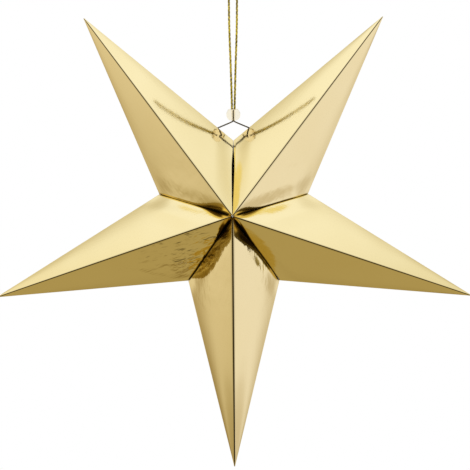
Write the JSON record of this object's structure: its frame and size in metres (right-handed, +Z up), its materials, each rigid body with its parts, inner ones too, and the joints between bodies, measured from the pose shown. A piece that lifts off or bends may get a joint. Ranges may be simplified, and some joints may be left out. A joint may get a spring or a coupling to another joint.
{
  "type": "hanging paper star",
  "caption": "Hollow five-pointed star of folded gold foil card, hung by a twisted cord loop through a clear bead.",
  "frame": {"origin": "inside of the cord loop's top, where a hook carries the star", "axes": "+Z up along the hanging cord, -Y towards the viewer out of the star's front hub, +X to the viewer's right across the star's two side tips"},
  "size_m": [0.302, 0.0922, 0.3082],
  "materials": {
    "gold_foil_card": "mirror-bright pale gold foil on white card",
    "clear_plastic": "clear, polished",
    "dark_gold_thread": "thin metallic thread",
    "gold_cord": "twisted metallic cord"
  },
  "bodies": {
    "root": {"point_upper_left": "gold_foil_card", "point_lower_left": "gold_foil_card", "point_bottom": "gold_foil_card", "point_lower_right": "gold_foil_card", "point_upper_right": "gold_foil_card", "clear_bead": "clear_plastic", "tie_thread": "dark_gold_thread", "hanging_cord": "gold_cord"}
  },
  "joints": []
}
